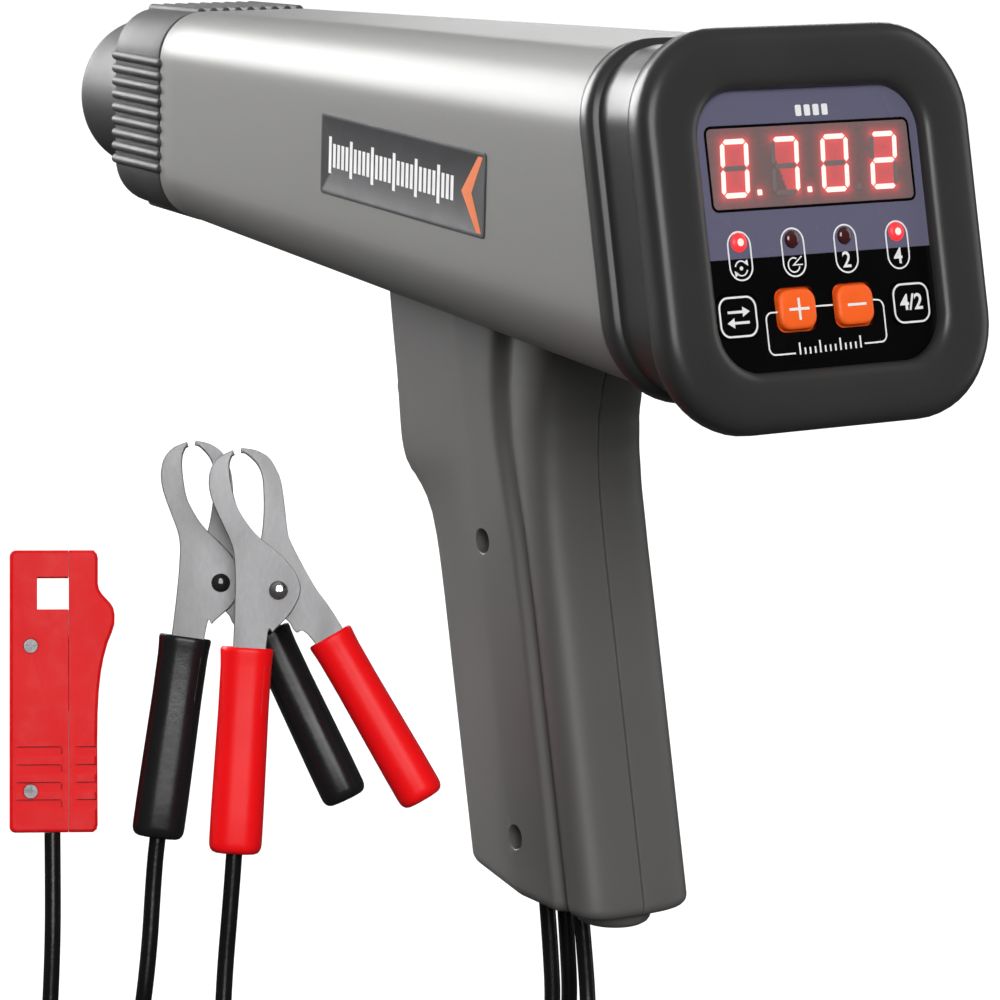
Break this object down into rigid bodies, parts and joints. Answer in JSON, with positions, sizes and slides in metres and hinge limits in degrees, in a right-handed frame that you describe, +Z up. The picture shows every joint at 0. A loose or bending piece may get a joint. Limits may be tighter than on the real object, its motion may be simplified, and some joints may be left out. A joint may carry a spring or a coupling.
{
  "type": "timing light",
  "caption": "Pistol-grip strobe for ignition timing with a tapered barrel, raked rear display, two battery clips and a clamp-on pickup, each on a coiled lead.",
  "frame": {"origin": "middle of the hand grip, on the plane of symmetry, level with the middle finger", "axes": "+Y along the beam towards the lens, +X to the user's right, +Z up; the barrel axis is 105 mm above the origin"},
  "size_m": [0.1756, 0.2987, 0.2635],
  "materials": {
    "silver_paint": "satin metallic silver-grey paint",
    "cap_plastic": "satin dark grey moulded plastic",
    "boot_rubber": "smooth black rubber",
    "panel_print": "printed panel, slate blue above and black below",
    "smoked_window": "smoked acrylic",
    "display_red": "seven-segment display behind the window",
    "led_red": "red diffused lens",
    "key_orange": "silicone rubber key",
    "key_black": "black key with white outline",
    "circuit_board": "green solder mask",
    "component": "moulded electronic part",
    "sheet_steel": "zinc-plated pressed steel",
    "spring_steel": "spring wire",
    "rivet_chrome": "bright domed rivet",
    "rivet_black": "black-nickel domed rivet",
    "sleeve_red": "soft red PVC",
    "sleeve_black": "soft black PVC",
    "lead_black": "black PVC lead",
    "grip_grey": "grey moulded plastic",
    "pickup_red": "red moulded plastic",
    "lens_clear": "clear lens",
    "reflector_mirror": "bright plated reflector",
    "screw_steel": "steel screw",
    "plate_dark": "printed dark plate with an orange chevron",
    "ferrite": "ferrite",
    "tie_black": "nylon tie",
    "trigger_grey": "grey moulded button"
  },
  "bodies": {
    "housing": {"barrel_housing": "silver_paint", "nameplate": "plate_dark", "rear_boot": "boot_rubber", "display_panel": "panel_print", "display_window": "smoked_window", "led_display": "display_red", "indicator_leds": "led_red", "tact_switches": "component", "display_board": "circuit_board", "power_board": "circuit_board", "board_posts": "cap_plastic", "flash_capacitor": "component", "trigger_coil": "component", "front_cap": "cap_plastic", "lens_hood": "cap_plastic", "front_lens": "lens_clear", "reflector": "reflector_mirror", "lamp_holder": "component", "flash_lamp": "lens_clear", "grip_left": "grip_grey", "grip_right": "grip_grey", "grip_screws": "screw_steel", "grip_foot_boss": "grip_grey", "trigger_switch": "component", "cable_gland": "sleeve_black", "red_clip_jaw": "sheet_steel", "red_clip_rivet": "rivet_chrome", "red_clip_spring": "spring_steel", "red_sleeve_lead": "sleeve_red", "red_lead_grip": "lead_black", "red_lead_clip": "lead_black", "red_lead_coil": "lead_black", "black_clip_jaw": "sheet_steel", "black_clip_rivet": "rivet_black", "black_clip_spring": "spring_steel", "black_sleeve_lead": "sleeve_black", "black_lead_grip": "lead_black", "black_lead_clip": "lead_black", "black_lead_coil": "lead_black", "pickup_front_shell": "pickup_red", "pickup_back_shell": "pickup_red", "pickup_core": "ferrite", "pickup_screws": "screw_steel", "pickup_lead_grip": "lead_black", "pickup_lead_head": "lead_black", "pickup_lead_coil": "lead_black", "coil_ties": "tie_black"},
    "trigger": {"trigger_button": "trigger_grey", "trigger_spring": "spring_steel"},
    "red_jaw": {"red_clip_moving_jaw": "sheet_steel", "red_sleeve_plain": "sleeve_red"},
    "black_jaw": {"black_clip_moving_jaw": "sheet_steel", "black_sleeve_plain": "sleeve_black"},
    "thumb_slide": {"pickup_slide": "pickup_red", "pickup_slide_core": "ferrite", "pickup_spring": "spring_steel"},
    "left_key": {"key_left": "key_black"},
    "plus_key": {"key_plus": "key_orange"},
    "minus_key": {"key_minus": "key_orange"},
    "right_key": {"key_right": "key_black"}
  },
  "joints": [
    {"name": "trigger_press", "type": "slide", "parent": "housing", "child": "trigger", "axis": [0, -0.9724, 0.2334], "range_m": [0, 0.0025], "stiffness_N_per_m": 900, "springref_m": -0.002},
    {"name": "left_key_press", "type": "slide", "parent": "housing", "child": "left_key", "axis": [0, 0.9724, -0.2334], "range_m": [0, 0.0008], "stiffness_N_per_m": 1500, "springref_m": -0.0006},
    {"name": "plus_key_press", "type": "slide", "parent": "housing", "child": "plus_key", "axis": [0, 0.9724, -0.2334], "range_m": [0, 0.0008], "stiffness_N_per_m": 1500, "springref_m": -0.0006},
    {"name": "minus_key_press", "type": "slide", "parent": "housing", "child": "minus_key", "axis": [0, 0.9724, -0.2334], "range_m": [0, 0.0008], "stiffness_N_per_m": 1500, "springref_m": -0.0006},
    {"name": "right_key_press", "type": "slide", "parent": "housing", "child": "right_key", "axis": [0, 0.9724, -0.2334], "range_m": [0, 0.0008], "stiffness_N_per_m": 1500, "springref_m": -0.0006},
    {"name": "red_clip_hinge", "type": "hinge", "parent": "housing", "child": "red_jaw", "pos_m": [-0.058, 0.01456, 0.01182], "axis": [0.493, 0.8427, -0.2164], "range_deg": [0, 24], "stiffness_Nm_per_rad": 0.5, "springref_deg": -34.38},
    {"name": "black_clip_hinge", "type": "hinge", "parent": "housing", "child": "black_jaw", "pos_m": [-0.06093, 0.03556, 0.00975], "axis": [0.4811, 0.8499, -0.2148], "range_deg": [0, 24], "stiffness_Nm_per_rad": 0.5, "springref_deg": -34.38},
    {"name": "pickup_slide_move", "type": "slide", "parent": "housing", "child": "thumb_slide", "axis": [-0.111, -0.2131, -0.9707], "range_m": [0, 0.014], "stiffness_N_per_m": 220, "springref_m": -0.012}
  ]
}
